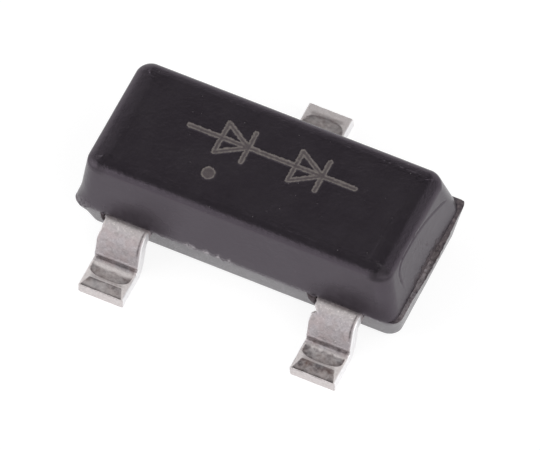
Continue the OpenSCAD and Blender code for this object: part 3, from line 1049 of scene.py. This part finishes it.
def build_lead(name, material):
    """One formed lead swept along its path, with its pad, forming marks, crease and cut edges."""
    mirrored = -1 if name != "lead_3" else 1
    stations = lead_stations(name)
    rings, uppers, sheet = [], [], []
    for distance in stations:
        (y, z), (out_y, out_z) = lead_path(distance)
        left, right = lead_edges(name, distance)
        half = (left + right) / 2
        flat, flat_normals = rounded_ring(half, LEAD_T / 2, LEAD_EDGE_R, LEAD_COUNT_W, LEAD_COUNT_T)
        across = flat[:, 0] + (right - left) / 2
        rings.append(np.column_stack([across, y + flat[:, 1] * out_y, z + flat[:, 1] * out_z]))
        uppers.append(flat_normals[:, 1])
        sheet.append(np.full(len(flat), distance))
    points, faces = lofted(rings, LEAD_COUNT_W, LEAD_COUNT_T)
    faces = faces[:, ::-1]
    caps = len(points) - sum(len(r) for r in rings)
    upper = np.concatenate(uppers + [np.zeros(caps)])
    sheet = np.concatenate(sheet + [np.full(caps // 2, stations[0]), np.full(caps - caps // 2, stations[-1])])
    normals = vertex_normals(points, faces)
    points, masks = lead_details(name, points, normals, upper, sheet)
    points = points * (1, mirrored, 1) + (LEAD_X[name], 0, 0)
    if mirrored < 0:
        faces = faces[:, ::-1]
    make_piece("tinned_" + name, points, faces.tolist(), material, name, masks)


def lead_details(name, points, normals, upper, sheet):
    """A lead's points with the marks pressed in and the sheet roughened, and its masks."""
    x, y = points[:, 0], points[:, 1]
    seed = 10 + list(LEAD_X).index(name)
    on_top = ease((upper - 0.5) / 0.4)
    scoop_depth, scooped = scoop(name, x, y)
    tip_depth, tipped = tip_mark(name, x, y)
    foot = sheet > FOOT_START
    crease_at = SLOPE_END + CREASE_SHIFT[name]
    crease = bump_at(sheet, crease_at, CREASE_W)
    lip = bump_at(sheet, crease_at - CREASE_W, 0.014)
    shift = -on_top * (CREASE_DEPTH * crease - CREASE_LIP * lip)
    outside = ease((sheet - HALF_W) / 0.02)
    shift += outside * (relief(points, *LEAD_WAVES, seed) + relief(points, *LEAD_GRAIN, seed + 5))
    end_face = ease((sheet - PATH_END + 0.004) / 0.004)
    shift += end_face * relief(points * (1, 1, 0.2), *END_GRAIN, seed)
    points = points + normals * shift[:, None]
    points[:, 2] -= on_top * foot * (scoop_depth + tip_depth)
    masks = lead_masks(name, x, y, sheet, scooped, tipped, crease, seed)
    for mask in masks:
        masks[mask] = masks[mask] * on_top
    side = ease((np.abs(normals[:, 0]) - 0.5 + 0.35 * (upper < 0)) / 0.3)
    masks["cut"] = outside * side * (1 - masks["copper_and_painted_shade"]) * (1 - end_face)
    beside_tear = (x < -LEAD_W / 2 + TEAR_DEPTH + 0.02) * (upper < 0.9)
    torn = bump_at(sheet, TEAR_AT + TEAR_FALL / 2, 0.02) * beside_tear
    # The tip's cut end is painted pale as painted light, for the front light it faces; the tear is pale bare
    # metal
    masks["pale_and_painted_light"] = np.maximum.reduce([masks["pale_and_painted_light"], end_face * (normals[:, 1] > 0.5) * 0.62, torn])
    return points, masks


def scoop_dirt(name, x, y, place, scooped, shine_y, seed):
    """How soiled the half-round mark of a foot is, darkest along its far edge."""
    fade = ease((y - shine_y - 0.006) / 0.035)
    aside = np.clip(np.abs(x) / SCOOP_HALF_W, 0, 1)
    arc = scooped * (1 - scooped) * 4 * (y > SCOOP_ROUND_Y - 0.02) * (0.4 + 0.6 * aside)
    uneven = 0.80 + 0.3 * grain(place, 0.04, seed + 8) + 0.3 * aside ** 4
    dirt = SOILED_SCOOP[name] * scooped * fade * uneven
    return np.maximum(dirt + 0.60 * arc, 0.26 * scooped)


def tip_dirt(name, x, y, place, tipped, seed):
    """How soiled the mark at the tip is, with the ridge between it and the half-round mark."""
    edge = tipped * (1 - tipped) * 4
    lighter = 1.05 - 0.22 * ease((y - TIP_MARK_Y[name] - 0.015) / 0.05)
    uneven = 0.95 + 0.3 * grain(place, 0.06, seed + 6)
    ridge = bump_at(y, (SCOOP_END_Y[name] + TIP_MARK_Y[name]) / 2, 0.03)
    ridge = ridge * ease((0.16 - np.abs(x)) / 0.04)
    return np.maximum(SOILED_TIP[name] * tipped * lighter * uneven + 0.50 * edge, 0.52 * ridge)


def lead_masks(name, x, y, sheet, scooped, tipped, crease, seed):
    """Where the upper side of a lead is soiled, where its dark lines of bare copper and painted shade run,
    where it is pale or painted light, and the painted light just out of the body.
    """
    foot = sheet > FOOT_START
    place = np.column_stack([x, y, sheet])
    shine_y = SHINE_Y[name] + 0.010 * STREAKS[name] * grain(place * (1, 0.1, 0.1), 0.030, seed + 12)
    in_scoop = scoop_dirt(name, x, y, place, scooped, shine_y, seed)
    in_tip = tip_dirt(name, x, y, place, tipped, seed)
    near_heel = ease((sheet - SLOPE_END) / 0.02) * ease((shine_y + 0.01 - y) / 0.03)
    pressed = ease((HEEL_HALF_W - np.abs(x)) / 0.012)
    heel = near_heel * pressed * (1 - 0.50 * ease((sheet - SLOPE_END - 0.03) / 0.10))
    streaks = 0.80 + STREAKS[name] * grain(place * (1, 0.15, 0.15), 0.030, seed + 9)
    on_heel = SOILED_HEEL[name] * heel * np.clip(streaks, 0.05, 1.5)
    smear = bump_at(sheet, SLOPE_END - 0.035, 0.045) * bump_at(x, -0.03, 0.16)
    smear = smear * ease(0.5 + 1.5 * grain(place, 0.05, seed + 7))
    plate = np.maximum(ease((y - 0.90) / 0.03), near_heel * (1 - pressed) * 0.35) * PALE_PLATE[name]
    # Painted light on the upper bend just out of the body
    painted_exit_light = ease((HALF_W + 0.085 - sheet) / 0.05) * ease((sheet - HALF_W) / 0.02)
    soiled = np.maximum.reduce([foot * in_scoop, foot * in_tip, on_heel, 0.30 * smear])
    copper_and_painted_shade = copper_and_painted_shade_lines(name, x, y, sheet, place, tipped, crease, near_heel, seed)
    return {"soiled": np.clip(soiled, 0, 1), "copper_and_painted_shade": copper_and_painted_shade, "pale_and_painted_light": foot * plate, "exit_painted_light": painted_exit_light}


def copper_and_painted_shade_lines(name, x, y, sheet, place, tipped, crease, near_heel, seed):
    """Dark lines: painted shade in the crease, along the tip's edge and where the body shades the exit; bare
    copper along the right edge; and darker rims at the tip mark's inner end and the heel.
    """
    foot = sheet > FOOT_START
    aside = np.clip(np.abs(x) / SCOOP_HALF_W, 0, 1)
    neck = ease((sheet - HALF_W) / 0.02) * ease((SLOPE_END - 0.10 - sheet) / 0.07)
    # Bare copper along the right edge; painted shade along the tip's edge and in the crease; painted shadow
    # of the body over the exit
    right_edge = bump_at(x, LEAD_W / 2 - 0.028, 0.013) * neck
    painted_tip_edge_shade = tipped * bump_at(y, TIP_Y - 0.016, 0.014)
    inner_line = tipped * bump_at(y, TIP_MARK_Y[name] + 0.008, 0.010)
    lines = foot * np.maximum(painted_tip_edge_shade * (0.20 + 0.35 * aside), inner_line * 0.5)
    painted_crease_shade = CREASE_PAINTED_SHADE[name] * crease * ease(1.3 + grain(place, 0.06, seed + 4))
    heel_line = near_heel * bump_at(np.abs(x), HEEL_HALF_W - 0.006, 0.012)
    painted_exit_shadow = 0.40 * ease((HALF_W + 0.032 - sheet) / 0.02)
    return np.maximum.reduce([painted_crease_shade, right_edge * 0.8, lines, heel_line * 0.35, painted_exit_shadow])


# Floor, lights and camera
FLOOR_SIZE = 0.8
FLOOR_BELOW = 0.001
FLOOR_TINT = 0.80
SEEN_GLOW = 0.84
SEEN_TINT = 0.27
MIRRORED_GLOW = 0.60
MIRRORED_TINT = 0.50
LEVEL_LIGHT = 1.0
ZENITH_LIGHT = 0.10
LEVEL_BELOW = 0.40
ZENITH_ABOVE = 0.85
SOFTBOX_DISTANCE = 32
SOFTBOX_SIZE = 34
SOFTBOXES = (
    ("left_softbox", (-0.85, -0.45, 0.70), 1.25),
    ("right_softbox", (0.85, -0.30, 0.60), 1.45),
)


def white_floor():
    """Plain pale floor that the camera and mirror images see white, with the part's shadow."""
    half = FLOOR_SIZE / 2
    mesh = bpy.data.meshes.new("floor")
    corners = [(-half, -half, 0), (half, -half, 0), (half, half, 0), (-half, half, 0)]
    mesh.from_pydata(corners, [], [(0, 1, 2, 3)])
    floor = in_scene("floor", mesh)
    floor.location.z = -FLOOR_BELOW * MM
    s = Shader("white_floor")
    rays = s.node("ShaderNodeLightPath")
    seen = rays.outputs["Is Camera Ray"]
    mirrored = s.math("MAXIMUM", rays.outputs["Is Glossy Ray"], rays.outputs["Is Transmission Ray"])
    glow = s.math("ADD", s.times(seen, SEEN_GLOW), s.times(mirrored, MIRRORED_GLOW))
    less = s.times(seen, FLOOR_TINT - SEEN_TINT)
    less = s.math("ADD", less, s.times(mirrored, FLOOR_TINT - MIRRORED_TINT))
    s.set(Base_Color=s.math("SUBTRACT", FLOOR_TINT, less), Roughness=0.9, Specular_IOR_Level=0.0)
    s.set(Emission_Color=(1.0, 1.0, 1.0), Emission_Strength=glow)
    mesh.materials.append(s.material)


def soft_light(name, direction, strength):
    """Square area lamp in a direction from the part, turned towards it."""
    light = bpy.data.lights.new(name, "AREA")
    light.size = SOFTBOX_SIZE * MM
    light.energy = strength * math.pi * (SOFTBOX_SIZE * MM) ** 2
    lamp = in_scene(name, light)
    away = Vector(direction).normalized()
    lamp.location = away * SOFTBOX_DISTANCE * MM
    lamp.rotation_mode = "QUATERNION"
    lamp.rotation_quaternion = away.to_track_quat("Z", "Y")


def studio():
    """Soft light, white at the part's level and dim overhead, with a soft lamp at each side."""
    world = bpy.data.worlds.new("studio")
    world.use_nodes = True
    tree = world.node_tree
    direction = tree.nodes.new("ShaderNodeTexCoord")
    parts = tree.nodes.new("ShaderNodeSeparateXYZ")
    light = tree.nodes.new("ShaderNodeMapRange")
    light.interpolation_type = "SMOOTHSTEP"
    set_range(light, LEVEL_BELOW, ZENITH_ABOVE, LEVEL_LIGHT, ZENITH_LIGHT)
    tree.links.new(direction.outputs["Generated"], parts.inputs["Vector"])
    tree.links.new(parts.outputs["Z"], light.inputs["Value"])
    tree.links.new(light.outputs["Result"], tree.nodes["Background"].inputs["Color"])
    bpy.context.scene.world = world
    for softbox in SOFTBOXES:
        soft_light(*softbox)
    bpy.context.scene.view_settings.view_transform = "Standard"


def camera():
    """Camera at the photograph's angle, aimed so that the part falls in the same place."""
    az, el = CAMERA_AZIMUTH, CAMERA_ELEVATION
    back = Vector((math.sin(az) * math.cos(el), -math.cos(az) * math.cos(el), math.sin(el)))
    level = Vector((0, 0, 1)).cross(back).normalized()
    upright = back.cross(level)
    right = math.cos(CAMERA_ROLL) * level + math.sin(CAMERA_ROLL) * upright
    up = math.cos(CAMERA_ROLL) * upright - math.sin(CAMERA_ROLL) * level
    aim = Vector(CAMERA_TARGET) - right * TARGET_RIGHT / PIXELS_PER_MM
    aim = aim + up * TARGET_BELOW / PIXELS_PER_MM
    data = bpy.data.cameras.new("camera")
    data.sensor_width = SENSOR_W
    data.lens = SENSOR_W * CAMERA_DISTANCE * PIXELS_PER_MM / IMAGE_W
    data.clip_start = 0.01
    data.clip_end = 2.0
    holder = in_scene("camera", data)
    turn = Matrix((right, up, back)).transposed().to_4x4()
    holder.matrix_world = Matrix.Translation((aim + back * CAMERA_DISTANCE) * MM) @ turn
    bpy.context.scene.camera = holder


def dress_inner_nodes():
    """Gives the dies, bonds and wires their materials; their meshes stay the CAD's."""
    for kind, material in (
        ("die", silicon_material()),
        ("die_bond", silver_bond_material()),
        ("bond_wire", gold_material()),
    ):
        for letter in "ab":
            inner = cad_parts[kind + "_" + letter]
            inner.data.materials.clear()
            inner.data.materials.append(material)


camera()
studio()
white_floor()
build_body(epoxy_material())
tin = tin_material()
for lead in LEAD_X:
    build_lead(lead, tin)
dress_inner_nodes()
